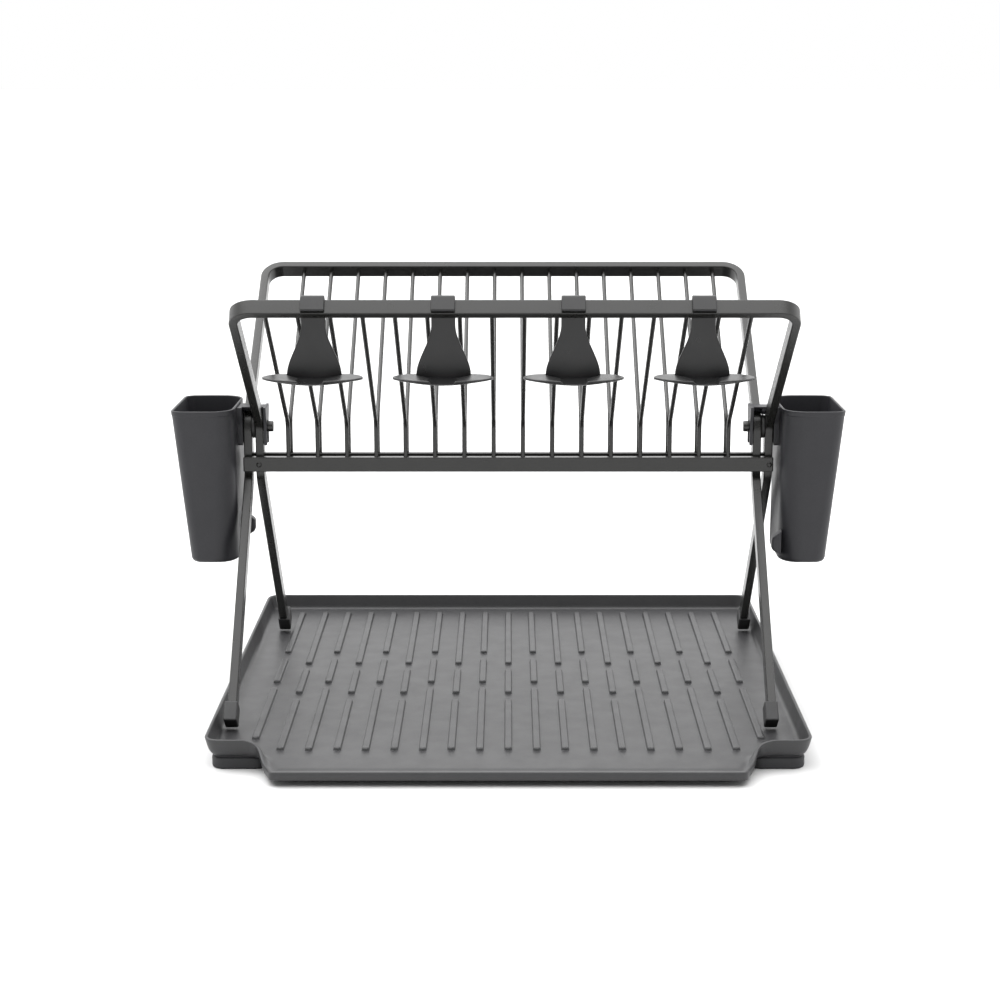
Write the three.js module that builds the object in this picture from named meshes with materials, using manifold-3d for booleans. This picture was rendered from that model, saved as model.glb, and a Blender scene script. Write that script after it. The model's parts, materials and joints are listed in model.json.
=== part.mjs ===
// Folding dish and bottle drying rack: two crossed hoop frames with wires, two hanging pots,
// four clip-on holders and a drip tray with a pouring spout.
// Millimetres. +X right, +Y to the rear, +Z up. Z = 0 is the table.
import * as THREE from "three";
import { mergeVertices } from "three/addons/utils/BufferGeometryUtils.js";
import Module from "manifold-3d";

const wasm = await Module();
wasm.setup();

// ---- Driving dimensions -------------------------------------------------------------------

const GAP = 0.3; // clearance between neighbouring pieces
const SHIFT_Y = 11.5; // moves the pivot plane back so the origin is under the object's middle

// Tray
const TRAY_HALF_W = 236.5;
const TRAY_FRONT = -216;
const TRAY_REAR = 229;
const TRAY_CORNER_R = 14;
const TRAY_BOTTOM = 8.6;
const FLOOR_TOP = 12;
const RIM_TOP = 25.4;
const TRAY_WALL = 2.4;
const TRAY_DRAFT = 3.6; // how far the wall's foot stands in from the rim, inside
// Outer side of the wall from the rim down: inset and height, a bowl-like curve
const WALL_PROFILE = [[0, RIM_TOP], [0.8, 21.5], [1.6, 18], [4, 12.6], [7, 10], [10, TRAY_BOTTOM]];
const SPOUT_FRONT = -252;
const SPOUT_BOTTOM = 5;
const SPOUT_HALF_W = 181;
const SPOUT_ROOT_HALF_W = 195;
const RIB_COUNT = 19;
const RIB_PITCH = 22.3;
const RIB_W = 6;
const RIB_H = 2.6;
const RIB_REAR = 205;
const ODD_RIBS = [[66.8, RIB_REAR], [-25, 44.5], [-203, -42.6]];
const EVEN_RIBS = [[31.5, RIB_REAR], [-55.6, 13], [-202, -75]];
const OUTER_RIB_FRONT = -176;
const FOOT_SIZE = [44, 64];
const FOOT_X = 209.5;
const FOOT_Y = [-179, 187];
const FOOT_R = 10;

// Frames: flat bar section, hoop and leg profile
const BAR_W = 12.6; // across the frame's plane
const BAR_T = 7.1; // within the frame's plane
const SECTION_CHAMFER = 0.8;
const FRAME_W = 442; // outer width of one hoop
const FRAME_SIDE = 5; // each hoop stands this far off centre, so the legs pass side by side
const HOOP_R = 16; // centre-line radius of the hoop's corners
const LEG_BEND_R = 16;
const RAIL = [-159.6, 352.9]; // centre of the top rail, Y and Z
const UPPER_BEND_Z = 237.6;
const LOWER_BEND_Z = 192.1;
const LOWER_ANGLE = THREE.MathUtils.degToRad(41.1);
const LEG_END_Z = 19.8; // centre line of a leg's end, inside its cap
const PIVOT_Z = 234;

// Cross bars, wires and fasteners
const CROSS_BAR_Z = [196.8, 209.4];
const CROSS_BAR_HALF_L = 226;
const CROSS_BAR_Y = -(BAR_W / 2 + GAP + BAR_T / 2);
const WIRE_R = 1.85;
const WIRE_COUNT = 16;
const WIRE_PITCH = 25;
const WIRE_BEND_Z = 239.2;
const WIRE_BEND_R = 16;
const PIN_R = 3;
const PIN_CLEARANCE = 0.08;
const PIN_HEAD_R = 4.6;
const PIN_INNER_HEAD = 7.8;
const PIN_OUTER_HEAD = 2;
const SPACER_R = 10;
const RIVET_R = 1.4;
const RIVET_HEAD_R = 2.3;
const RIVET_HEAD_H = 1.1;
const RIVET_DEPTH = 3; // how far past the leg's middle the rivet's tail reaches
const RIVET_Z = (CROSS_BAR_Z[0] + CROSS_BAR_Z[1]) / 2;

// Leg end caps
const CAP_NEAR = 1.2; // wall on the side of the crossing leg
const CAP_FAR = 2.6;
const CAP_WALL = 1.6; // front and back walls
const CAP_LENGTH = 14; // how far the cap reaches up the leg
const CAP_END = 3; // wall over the leg's end, cut square to the leg

// Pots
const POT_BOTTOM_Z = 123.4;
const POT_RIM_Z = 253.9;
const POT_WALL = 2;
const POT_FLOOR = 3;
const POT_RIM = { x0: 230.2, x1: 282.3, y: 45.5 };
const POT_BASE = { x0: 229.2, x1: 269.3, y: 42 };
const POT_INNER_R = 17; // corners on the rack's side
const POT_OUTER_R = 9;
const HANGER_TOP_Z = 251.9;
const HANGER_BOTTOM_Z = 218.8;
const HANGER_TOP_HALF_W = 13;
const HANGER_LOWER_HALF_W = 8.6;
const HANGER_LIP_T = 2.8;
const SLOT_HALF_W = PIN_HEAD_R + 0.5;
const SADDLE_HALF_W = 7.2;
const PAD_Y = [-41, -31]; // beside the inner leg, clear of the outer leg's sweep
const PAD_FACE_X = 223;
const PAD_FACE_Z = [135, 145];
const PAD_ROOT_Z = [130, 151];

// Holders
const HOLDER_X = [-150, -50, 50, 150];
const CLIP_T = 2.6;
const CLIP_TAIL = 3; // past the rail's rear edge
const CLIP_NOSE_BACK = 1.6; // short of the rail's front edge
const HOLDER_NECK_W = 18.6;
const HOLDER_FLARE_W = 42.4;
const HOLDER_FLARE_TOP = 337;
const HOLDER_SHELF_TOP = 302;
const HOLDER_SHELF_T = 4;
const HOLDER_WALL = [-156.6, -153.4]; // front and back of the hanging plate
const HOLDER_WING_HALF_W = 38.6;

// ---- Solids and shapes --------------------------------------------------------------------

// A three.js geometry as a manifold solid, and back.
function solid(geometry) {
  const bare = geometry.index ? geometry.toNonIndexed() : geometry.clone();
  bare.deleteAttribute("normal");
  bare.deleteAttribute("uv");
  const merged = mergeVertices(bare, 1e-4);
  return new wasm.Manifold(
    new wasm.Mesh({
      numProp: 3,
      vertProperties: merged.attributes.position.array,
      triVerts: new Uint32Array(merged.index.array),
    }),
  );
}

function geometryOf(body) {
  const mesh = body.getMesh();
  const geometry = new THREE.BufferGeometry();
  geometry.setAttribute("position", new THREE.BufferAttribute(mesh.vertProperties, 3));
  geometry.setIndex(new THREE.BufferAttribute(mesh.triVerts, 1));
  geometry.computeVertexNormals();
  return geometry;
}

// Skin over a chain of closed loops with equal point counts, closed at both ends.
function loft(loops) {
  const count = loops[0].length;
  const position = loops.flat(2);
  const index = [];
  for (let k = 0; k + 1 < loops.length; k++) {
    for (let i = 0; i < count; i++) {
      const j = (i + 1) % count;
      const a = k * count + i;
      const b = k * count + j;
      index.push(a, b, b + count, a, b + count, a + count);
    }
  }
  const last = (loops.length - 1) * count;
  for (let i = 1; i + 1 < count; i++) {
    index.push(0, i + 1, i);
    index.push(last, last + i, last + i + 1);
  }
  const geometry = new THREE.BufferGeometry();
  geometry.setAttribute("position", new THREE.Float32BufferAttribute(position, 3));
  geometry.setIndex(index);
  return geometry;
}

// Extrusions of a flat outline along each axis, between two stations.
function prism(points, from, to, axis) {
  const shape = new THREE.Shape(points.map(([a, b]) => new THREE.Vector2(a, b)));
  const geometry = new THREE.ExtrudeGeometry(shape, {
    depth: to - from,
    bevelEnabled: false,
  });
  geometry.translate(0, 0, from);
  if (axis === "x") {
    geometry.applyMatrix4(new THREE.Matrix4().set(0, 0, 1, 0, 1, 0, 0, 0, 0, 1, 0, 0, 0, 0, 0, 1));
  }
  if (axis === "y") {
    geometry.rotateX(Math.PI / 2);
    geometry.translate(0, from + to, 0);
  }
  return solid(geometry);
}

// Round bar along X or Y.
function rod(radius, from, to, axis, centre, sides = 32) {
  const geometry = new THREE.CylinderGeometry(radius, radius, to - from, sides);
  geometry.translate(0, (from + to) / 2, 0);
  if (axis === "x") geometry.rotateZ(-Math.PI / 2);
  geometry.translate(...centre);
  return solid(geometry);
}

// Closed outline of a rectangle with its own radius at each corner, starting at (x0, y0).
function roundedRect(x0, x1, y0, y1, radii, steps = 5) {
  const corners = [
    [x0, y0, 1, 1, Math.PI],
    [x1, y0, -1, 1, 1.5 * Math.PI],
    [x1, y1, -1, -1, 0],
    [x0, y1, 1, -1, 0.5 * Math.PI],
  ];
  const points = [];
  corners.forEach(([x, y, sx, sy, start], k) => {
    const r = radii[k];
    for (let i = 0; i <= steps; i++) {
      const a = start + (i / steps) * (Math.PI / 2);
      points.push([x + sx * r + r * Math.cos(a), y + sy * r + r * Math.sin(a)]);
    }
  });
  return points;
}

const atHeight = (points, z) => points.map(([x, y]) => [x, y, z]);

// Points along a polyline in one plane, with its inner vertices rounded off.
function rounded(points, radius, steps = 6) {
  const path = [new THREE.Vector2(...points[0])];
  for (let i = 1; i + 1 < points.length; i++) {
    const v = new THREE.Vector2(...points[i]);
    const a = new THREE.Vector2(...points[i - 1]).sub(v).normalize();
    const b = new THREE.Vector2(...points[i + 1]).sub(v).normalize();
    const half = Math.acos(THREE.MathUtils.clamp(a.dot(b), -1, 1)) / 2;
    const reach = radius / Math.tan(half);
    const p = v.clone().addScaledVector(a, reach);
    const q = v.clone().addScaledVector(b, reach);
    const curve = new THREE.QuadraticBezierCurve(p, v, q);
    path.push(...curve.getPoints(steps));
  }
  path.push(new THREE.Vector2(...points.at(-1)));
  return path;
}

// Unit tangents of a planar path.
function tangents(path) {
  return path.map((p, i) => {
    const before = path[Math.max(i - 1, 0)];
    const after = path[Math.min(i + 1, path.length - 1)];
    return after.clone().sub(before).normalize();
  });
}

// ---- Tray ---------------------------------------------------------------------------------

// One raised rib with blunt sloping ends and sides.
function rib(x, y0, y1) {
  const foot = FLOOR_TOP - 0.5;
  const top = FLOOR_TOP + RIB_H;
  const end = 3;
  const side = 1.2;
  const half = RIB_W / 2;
  return solid(
    loft([
      atHeight([[x - half, y0], [x + half, y0], [x + half, y1], [x - half, y1]], foot),
      atHeight(
        [
          [x - half + side, y0 + end],
          [x + half - side, y0 + end],
          [x + half - side, y1 - end],
          [x - half + side, y1 - end],
        ],
        top,
      ),
    ]),
  );
}

function trayOutline(inset, z, radius) {
  return atHeight(
    roundedRect(
      -TRAY_HALF_W + inset,
      TRAY_HALF_W - inset,
      TRAY_FRONT + inset,
      TRAY_REAR - inset,
      Array(4).fill(radius),
      7,
    ),
    z,
  );
}

function trayGeometry() {
  let body = solid(
    loft(WALL_PROFILE.toReversed().map(([inset, z]) => trayOutline(inset, z, TRAY_CORNER_R))),
  );
  const basin = solid(
    loft([
      trayOutline(TRAY_DRAFT + TRAY_WALL, FLOOR_TOP, TRAY_CORNER_R - 4),
      trayOutline(TRAY_WALL, RIM_TOP + 1, TRAY_CORNER_R - 2),
    ]),
  );
  const notch = prism(
    [
      [-SPOUT_HALF_W - 2, FLOOR_TOP],
      [SPOUT_HALF_W + 2, FLOOR_TOP],
      [SPOUT_HALF_W + 6, FLOOR_TOP + 4],
      [SPOUT_ROOT_HALF_W - 3, RIM_TOP - 3],
      [SPOUT_ROOT_HALF_W + 3, RIM_TOP + 1],
      [-SPOUT_ROOT_HALF_W - 3, RIM_TOP + 1],
      [-SPOUT_ROOT_HALF_W + 3, RIM_TOP - 3],
      [-SPOUT_HALF_W - 6, FLOOR_TOP + 4],
    ],
    TRAY_FRONT - 20,
    TRAY_FRONT + 20,
    "y",
  );
  // Spout: a shelf that runs out past the front wall, thicker at its lip.
  const spoutOutline = (front, grow) => [
    [-SPOUT_ROOT_HALF_W, TRAY_FRONT + 30],
    [-SPOUT_ROOT_HALF_W, TRAY_FRONT + 4 + grow],
    [-SPOUT_HALF_W + grow, front + 1],
    [-SPOUT_HALF_W + 1.5 + grow, front],
    [SPOUT_HALF_W - 1.5 - grow, front],
    [SPOUT_HALF_W - grow, front + 1],
    [SPOUT_ROOT_HALF_W, TRAY_FRONT + 4 + grow],
    [SPOUT_ROOT_HALF_W, TRAY_FRONT + 30],
  ];
  const shelf = solid(
    loft([
      atHeight(spoutOutline(SPOUT_FRONT + 2, 1), TRAY_BOTTOM),
      atHeight(spoutOutline(SPOUT_FRONT, 0), FLOOR_TOP),
    ]),
  );
  const lip = prism(
    [
      [SPOUT_FRONT + 1.2, SPOUT_BOTTOM], [SPOUT_FRONT + 4, SPOUT_BOTTOM],
      [SPOUT_FRONT + 4, FLOOR_TOP - 0.5], [SPOUT_FRONT + 0.4, FLOOR_TOP - 0.5],
      [SPOUT_FRONT, FLOOR_TOP - 1.2],
    ],
    -SPOUT_HALF_W + 2,
    SPOUT_HALF_W - 2,
    "x",
  );
  body = body.subtract(basin).subtract(notch).add(shelf).add(lip);
  for (let i = 0; i < RIB_COUNT; i++) {
    const x = (i - (RIB_COUNT - 1) / 2) * RIB_PITCH;
    const outermost = i === 0 || i === RIB_COUNT - 1;
    const runs = i % 2 === 0 ? ODD_RIBS : EVEN_RIBS;
    for (const [y0, y1] of runs) {
      body = body.add(rib(x, outermost ? Math.max(y0, OUTER_RIB_FRONT) : y0, y1));
    }
  }
  return geometryOf(body);
}

function trayFootGeometry(x, y) {
  const [w, l] = FOOT_SIZE;
  const outline = (inset, z) =>
    atHeight(
      roundedRect(
        x - w / 2 + inset,
        x + w / 2 - inset,
        y - l / 2 + inset,
        y + l / 2 - inset,
        Array(4).fill(FOOT_R - inset),
      ),
      z,
    );
  return loft([outline(1.5, 0), outline(0, 2), outline(0, TRAY_BOTTOM - GAP)]);
}

// ---- Frames -------------------------------------------------------------------------------

const railY = RAIL[0];
const railZ = RAIL[1];
const upperLength = Math.hypot(railY, railZ - UPPER_BEND_Z);
const RISE = [railY / upperLength, (railZ - UPPER_BEND_Z) / upperLength]; // up the frame
const NORMAL = [RISE[1], -RISE[0]]; // off the frame's upper face
const legEnd = [(LOWER_BEND_Z - LEG_END_Z) * Math.tan(LOWER_ANGLE), LEG_END_Z];
const LEG_X = [FRAME_SIDE - FRAME_W / 2 + BAR_T / 2, FRAME_SIDE + FRAME_W / 2 - BAR_T / 2];

// A point given by its offsets from the rail's centre: along the frame, then off its face.
const onRail = (along, off) => [
  railY + along * RISE[0] + off * NORMAL[0],
  railZ + along * RISE[1] + off * NORMAL[1],
];

// Flat-bar section with chamfered edges about a point.
function barSection(p, wide, thin) {
  const w = BAR_W / 2;
  const t = BAR_T / 2;
  const c = SECTION_CHAMFER;
  const corners = [
    [w, t - c], [w - c, t], [c - w, t], [-w, t - c],
    [-w, c - t], [c - w, -t], [w - c, -t], [w, c - t],
  ];
  return corners.map(([a, b]) =>
    p.clone().addScaledVector(wide, a).addScaledVector(thin, b).toArray(),
  );
}

// The front frame: rail in front, feet behind. The rear frame is the same, turned half round.
function frameGeometry() {
  const leg = rounded([legEnd, [0, LOWER_BEND_Z], [0, UPPER_BEND_Z], [railY, railZ]], LEG_BEND_R);
  leg.pop();
  const slopes = tangents([...leg, new THREE.Vector2(railY, railZ)]);
  const sections = [];
  leg.forEach((p, i) => {
    sections.push({
      at: new THREE.Vector3(LEG_X[0], p.x, p.y),
      wide: new THREE.Vector3(0, slopes[i].y, -slopes[i].x),
      along: new THREE.Vector3(0, slopes[i].x, slopes[i].y),
    });
  });
  const rise = new THREE.Vector3(0, ...RISE);
  const side = new THREE.Vector3(1, 0, 0);
  const wide = new THREE.Vector3(0, ...NORMAL);
  const corner = new THREE.Vector3(LEG_X[0], railY, railZ)
    .addScaledVector(rise, -HOOP_R)
    .addScaledVector(side, HOOP_R);
  const turns = 8;
  for (let i = 0; i <= turns; i++) {
    const a = (i / turns) * (Math.PI / 2);
    sections.push({
      at: corner
        .clone()
        .addScaledVector(side, -HOOP_R * Math.cos(a))
        .addScaledVector(rise, HOOP_R * Math.sin(a)),
      wide,
      along: rise.clone().multiplyScalar(Math.cos(a)).addScaledVector(side, Math.sin(a)),
    });
  }
  const mirrored = sections.toReversed().map(({ at, wide: w, along }) => ({
    at: new THREE.Vector3(2 * FRAME_SIDE - at.x, at.y, at.z),
    wide: w,
    along: new THREE.Vector3(along.x, -along.y, -along.z),
  }));
  const loops = [...sections, ...mirrored].map(({ at, wide: w, along }) =>
    barSection(at, w, along.clone().cross(w)),
  );
  let body = solid(loft(loops));
  for (const x of LEG_X) {
    body = body.subtract(
      rod(PIN_R + PIN_CLEARANCE, x - BAR_T, x + BAR_T, "x", [0, 0, PIVOT_Z]),
    );
    body = body.subtract(
      rod(RIVET_R + GAP, -BAR_W, RIVET_DEPTH + GAP, "y", [x, 0, RIVET_Z], 16),
    );
  }
  return geometryOf(body);
}

function crossBarGeometry() {
  const [z0, z1] = CROSS_BAR_Z;
  const y0 = CROSS_BAR_Y - BAR_T / 2;
  const y1 = CROSS_BAR_Y + BAR_T / 2;
  const c = SECTION_CHAMFER;
  const outline = [
    [y0 + c, z0], [y1 - c, z0], [y1, z0 + c], [y1, z1 - c],
    [y1 - c, z1], [y0 + c, z1], [y0, z1 - c], [y0, z0 + c],
  ];
  let body = prism(outline, -CROSS_BAR_HALF_L, CROSS_BAR_HALF_L, "x");
  for (const x of LEG_X) {
    body = body.subtract(rod(RIVET_R + GAP, y0 - 1, y1 + 1, "y", [x, 0, RIVET_Z], 16));
  }
  return geometryOf(body);
}

function rivetGeometry(x) {
  const face = CROSS_BAR_Y - BAR_T / 2 - GAP;
  const profile = [
    [0, face - RIVET_HEAD_H], [RIVET_HEAD_R * 0.7, face - RIVET_HEAD_H],
    [RIVET_HEAD_R, face - RIVET_HEAD_H * 0.4], [RIVET_HEAD_R, face],
    [RIVET_R, face], [RIVET_R, RIVET_DEPTH], [0, RIVET_DEPTH],
  ];
  const geometry = new THREE.LatheGeometry(
    profile.map(([r, y]) => new THREE.Vector2(r, y)),
    16,
  );
  geometry.translate(x, 0, RIVET_Z);
  return geometryOf(solid(geometry));
}

// One wire: from the rail's inner face down the frame, then upright into the cross bar.
function wireGeometry(x) {
  const top = onRail(-(BAR_T / 2 + GAP), 0);
  const path = rounded(
    [[CROSS_BAR_Y, CROSS_BAR_Z[1] + GAP], [CROSS_BAR_Y, WIRE_BEND_Z], top],
    WIRE_BEND_R,
    5,
  );
  const slopes = tangents(path);
  slopes[slopes.length - 1].set(...RISE);
  const sides = 8;
  const loops = path.map((p, i) => {
    const wide = new THREE.Vector3(0, slopes[i].y, -slopes[i].x);
    const loop = [];
    for (let k = 0; k < sides; k++) {
      const a = (k / sides) * 2 * Math.PI;
      loop.push([
        x + WIRE_R * Math.cos(a),
        p.x + WIRE_R * Math.sin(a) * wide.y,
        p.y + WIRE_R * Math.sin(a) * wide.z,
      ]);
    }
    return loop;
  });
  return loft(loops);
}

// Plastic cap pushed over a leg's end. It stands on its lower edge.
function capGeometry(x) {
  const down = [Math.sin(LOWER_ANGLE), -Math.cos(LOWER_ANGLE)];
  const across = [-down[1], down[0]];
  const place = (along, off) => [
    legEnd[0] + along * down[0] + off * across[0],
    legEnd[1] + along * down[1] + off * across[1],
  ];
  const shell = (grow, near, far, from, to) => {
    const h = BAR_W / 2 + grow;
    return prism(
      [place(from, -h), place(from, h), place(to, h), place(to, -h)],
      x - BAR_T / 2 - near,
      x + BAR_T / 2 + far,
      "x",
    );
  };
  const body = shell(CAP_WALL, CAP_NEAR, CAP_FAR, -CAP_LENGTH, CAP_END);
  return geometryOf(body.subtract(shell(GAP, GAP, GAP, -2 * CAP_LENGTH, GAP)));
}

// ---- Hinge --------------------------------------------------------------------------------

// Pin with a long inner head and a flat outer head. Side is -1 on the left, 1 on the right.
function pinGeometry(side) {
  const inner = FRAME_W / 2 - FRAME_SIDE - BAR_T - GAP;
  const outer = FRAME_W / 2 + FRAME_SIDE + GAP;
  const profile = [
    [0, inner - PIN_INNER_HEAD], [PIN_HEAD_R - 1.2, inner - PIN_INNER_HEAD],
    [PIN_HEAD_R, inner - PIN_INNER_HEAD + 1.2], [PIN_HEAD_R, inner], [PIN_R, inner],
    [PIN_R, outer], [PIN_HEAD_R, outer], [PIN_HEAD_R, outer + PIN_OUTER_HEAD - 0.8],
    [PIN_HEAD_R - 0.8, outer + PIN_OUTER_HEAD], [0, outer + PIN_OUTER_HEAD],
  ];
  const geometry = new THREE.LatheGeometry(
    profile.map(([r, x]) => new THREE.Vector2(r, x)),
    32,
  );
  geometry.rotateZ(-side * (Math.PI / 2));
  geometry.translate(0, 0, PIVOT_Z);
  return geometryOf(solid(geometry));
}

// Washer between the two legs.
function spacerGeometry(side) {
  const middle = side * (FRAME_W / 2 - BAR_T / 2);
  const half = FRAME_SIDE - BAR_T / 2 - GAP;
  const at = [0, 0, PIVOT_Z];
  const ring = rod(SPACER_R, middle - half, middle + half, "x", at);
  return geometryOf(ring.subtract(rod(PIN_R + GAP, middle - BAR_T, middle + BAR_T, "x", at)));
}

// ---- Pots ---------------------------------------------------------------------------------

// Outline of the pot at a level from 0 (base) to 1 (rim), moved inwards by the inset.
function potOutline(level, inset, z) {
  const mix = (a, b) => a + (b - a) * level;
  const x0 = mix(POT_BASE.x0, POT_RIM.x0) + inset;
  const x1 = mix(POT_BASE.x1, POT_RIM.x1) - inset;
  const y = mix(POT_BASE.y, POT_RIM.y) - inset;
  const radii = [POT_INNER_R, POT_OUTER_R, POT_OUTER_R, POT_INNER_R].map((r) => r - inset);
  return atHeight(roundedRect(x0, x1, -y, y, radii, 6), z);
}

// The right-hand pot. The left one is its mirror image.
function potGeometry() {
  const height = POT_RIM_Z - POT_BOTTOM_Z;
  const floorZ = POT_BOTTOM_Z + POT_FLOOR;
  const cup = solid(
    loft([
      potOutline(0, 3, POT_BOTTOM_Z),
      potOutline(3 / height, 0, POT_BOTTOM_Z + 3),
      potOutline(1, 0, POT_RIM_Z),
      potOutline(1, POT_WALL, POT_RIM_Z),
      potOutline(POT_FLOOR / height, POT_WALL + 1, floorZ),
    ]),
  );
  // Shield-shaped plate, wide in the notch of the frames and forked over the pin.
  const shoulderZ = PIVOT_Z + 5;
  const slotTop = PIVOT_Z + PIN_HEAD_R + 0.6;
  const plate = [
    [-HANGER_TOP_HALF_W, HANGER_TOP_Z], [-HANGER_LOWER_HALF_W, shoulderZ],
    [-HANGER_LOWER_HALF_W, HANGER_BOTTOM_Z], [-SLOT_HALF_W, HANGER_BOTTOM_Z],
    [-SLOT_HALF_W, slotTop - 2], [-SLOT_HALF_W + 2, slotTop],
    [SLOT_HALF_W - 2, slotTop], [SLOT_HALF_W, slotTop - 2],
    [SLOT_HALF_W, HANGER_BOTTOM_Z], [HANGER_LOWER_HALF_W, HANGER_BOTTOM_Z],
    [HANGER_LOWER_HALF_W, shoulderZ], [HANGER_TOP_HALF_W, HANGER_TOP_Z],
  ];
  const lipOuter = FRAME_W / 2 - FRAME_SIDE - BAR_T - GAP;
  const legOuter = FRAME_W / 2 + FRAME_SIDE + GAP;
  const wallX = POT_RIM.x0 + POT_WALL / 2;
  const lip = prism(plate, lipOuter - HANGER_LIP_T, lipOuter, "x");
  const backPlate = prism(plate, legOuter, wallX, "x");
  // Saddle over both legs, resting in the notch between them.
  const keelZ = UPPER_BEND_Z + (BAR_W / 2 + GAP) / NORMAL[1];
  const saddle = prism(
    [
      [-SADDLE_HALF_W, HANGER_TOP_Z],
      [-SADDLE_HALF_W, keelZ + (SADDLE_HALF_W * NORMAL[0]) / NORMAL[1] + 0.2],
      [-1.5, keelZ + 1.6],
      [1.5, keelZ + 1.6],
      [SADDLE_HALF_W, keelZ + (SADDLE_HALF_W * NORMAL[0]) / NORMAL[1] + 0.2],
      [SADDLE_HALF_W, HANGER_TOP_Z],
    ],
    lipOuter - 1,
    legOuter + 1,
    "x",
  );
  // Pad low on the pot's back that keeps it off the frames.
  const pad = prism(
    [
      [PAD_FACE_X, PAD_FACE_Z[1]],
      [PAD_FACE_X, PAD_FACE_Z[0]],
      [wallX, PAD_ROOT_Z[0]],
      [wallX, PAD_ROOT_Z[1]],
    ],
    ...PAD_Y,
    "y",
  );
  const inside = solid(
    loft([potOutline(POT_FLOOR / height, POT_WALL + 1, floorZ), potOutline(1, POT_WALL, POT_RIM_Z + 1)]),
  );
  const body = cup.add(lip).add(saddle).add(backPlate.subtract(inside)).add(pad.subtract(inside));
  return geometryOf(body);
}

// ---- Holders ------------------------------------------------------------------------------

function holderGeometry(x) {
  const clip = BAR_T / 2 + GAP;
  const edge = BAR_W / 2 + GAP;
  const nose = onRail(clip, -edge + CLIP_NOSE_BACK);
  const noseTop = [nose[0], nose[1] + CLIP_T / RISE[1]];
  const [front, back] = HOLDER_WALL;
  const shelfBottom = HOLDER_SHELF_TOP - HOLDER_SHELF_T;
  const tuck = onRail(-clip, 0);
  const strap = prism(
    [
      nose, noseTop, onRail(clip + CLIP_T, edge + CLIP_TAIL), onRail(-clip - 1.8, edge + CLIP_TAIL),
      [back, railZ - 6], [back, shelfBottom + 1], [front, shelfBottom + 1],
      [front, tuck[1] + (front - tuck[0])], onRail(-clip, edge), onRail(clip, edge),
    ],
    x - HOLDER_NECK_W / 2,
    x + HOLDER_NECK_W / 2,
    "x",
  );
  // Hanging plate that flares out towards the shelf.
  const steps = 8;
  const edgeLine = [];
  for (let i = 0; i <= steps; i++) {
    const t = i / steps;
    const ease = t * t * (3 - 2 * t);
    const half = HOLDER_NECK_W / 2 + ((HOLDER_FLARE_W - HOLDER_NECK_W) / 2) * ease;
    edgeLine.push([half, HOLDER_FLARE_TOP + (shelfBottom + 1 - HOLDER_FLARE_TOP) * t]);
  }
  const flare = prism(
    [
      ...edgeLine.map(([h, z]) => [x + h, z]),
      ...edgeLine.toReversed().map(([h, z]) => [x - h, z]),
    ],
    front,
    back,
    "y",
  );
  // Shelf with a wing to each side and a lower channel between them.
  const right = [
    [HOLDER_FLARE_W / 2, back], [32, -157], [36.5, -164], [HOLDER_WING_HALF_W, -171],
    [35.5, -179], [28, -186], [18, -190.5], [8, -193],
  ];
  const outline = [...right, ...right.toReversed().map(([a, b]) => [-a, b])];
  const shelf = prism(
    outline.map(([a, b]) => [x + a, b]),
    shelfBottom,
    HOLDER_SHELF_TOP,
    "z",
  );
  const channel = prism(
    [
      [x - 20, front - 0.5], [x - 13, -165], [x - 10, -176], [x - 9.5, -188],
      [x + 9.5, -188], [x + 10, -176], [x + 13, -165], [x + 20, front - 0.5],
    ],
    HOLDER_SHELF_TOP - 2,
    HOLDER_SHELF_TOP + 4,
    "z",
  );
  return geometryOf(strap.add(flare).add(shelf.subtract(channel)));
}

// ---- Assembly -----------------------------------------------------------------------------

const root = new THREE.Group();
const rack = new THREE.Group();
rack.position.y = SHIFT_Y;
root.add(rack);

const STEEL = { color: 0x3a3a38, roughness: 0.45, metalness: 0.6 };
const PLASTIC = { color: 0x46464a, roughness: 0.65, metalness: 0 };
const TRAY_PLASTIC = { color: 0x5a5a5c, roughness: 0.6, metalness: 0 };
const RUBBER = { color: 0x222222, roughness: 0.9, metalness: 0 };

function piece(name, geometry, look, turned = false) {
  const mesh = new THREE.Mesh(geometry, new THREE.MeshStandardMaterial(look));
  mesh.name = name;
  if (turned) mesh.rotation.z = Math.PI;
  rack.add(mesh);
}

piece("tray", trayGeometry(), TRAY_PLASTIC);
const FOOT_NAMES = ["front_left", "front_right", "rear_left", "rear_right"];
FOOT_NAMES.forEach((name, i) => {
  const x = (i % 2 === 0 ? -1 : 1) * FOOT_X;
  piece(`tray_foot_${name}`, trayFootGeometry(x, FOOT_Y[i < 2 ? 0 : 1]), RUBBER);
});

// Everything of the front frame, and the same turned half round for the rear frame.
for (const [name, turned] of [["front", false], ["rear", true]]) {
  piece(`frame_${name}`, frameGeometry(), STEEL, turned);
  piece(`cross_bar_${name}`, crossBarGeometry(), STEEL, turned);
  const sides = turned ? ["right", "left"] : ["left", "right"];
  LEG_X.forEach((x, i) => {
    piece(`leg_cap_${name}_${sides[i]}`, capGeometry(x), RUBBER, turned);
    piece(`rivet_${name}_${sides[i]}`, rivetGeometry(x), STEEL, turned);
  });
  for (let i = 0; i < WIRE_COUNT; i++) {
    const x = (i - (WIRE_COUNT - 1) / 2) * WIRE_PITCH;
    const number = String(i + 1).padStart(2, "0");
    piece(`wire_${name}_${number}`, wireGeometry(turned ? -x : x), STEEL, turned);
  }
}

for (const [name, side] of [["left", -1], ["right", 1]]) {
  piece(`hinge_pin_${name}`, pinGeometry(side), STEEL);
  piece(`hinge_spacer_${name}`, spacerGeometry(side), RUBBER);
}

piece("pot_right", potGeometry(), PLASTIC);
piece("pot_left", potGeometry(), PLASTIC, true);

HOLDER_X.forEach((x, i) => {
  piece(`holder_${i + 1}`, holderGeometry(x), PLASTIC);
});

export default root;
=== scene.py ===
import json
import math

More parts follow.
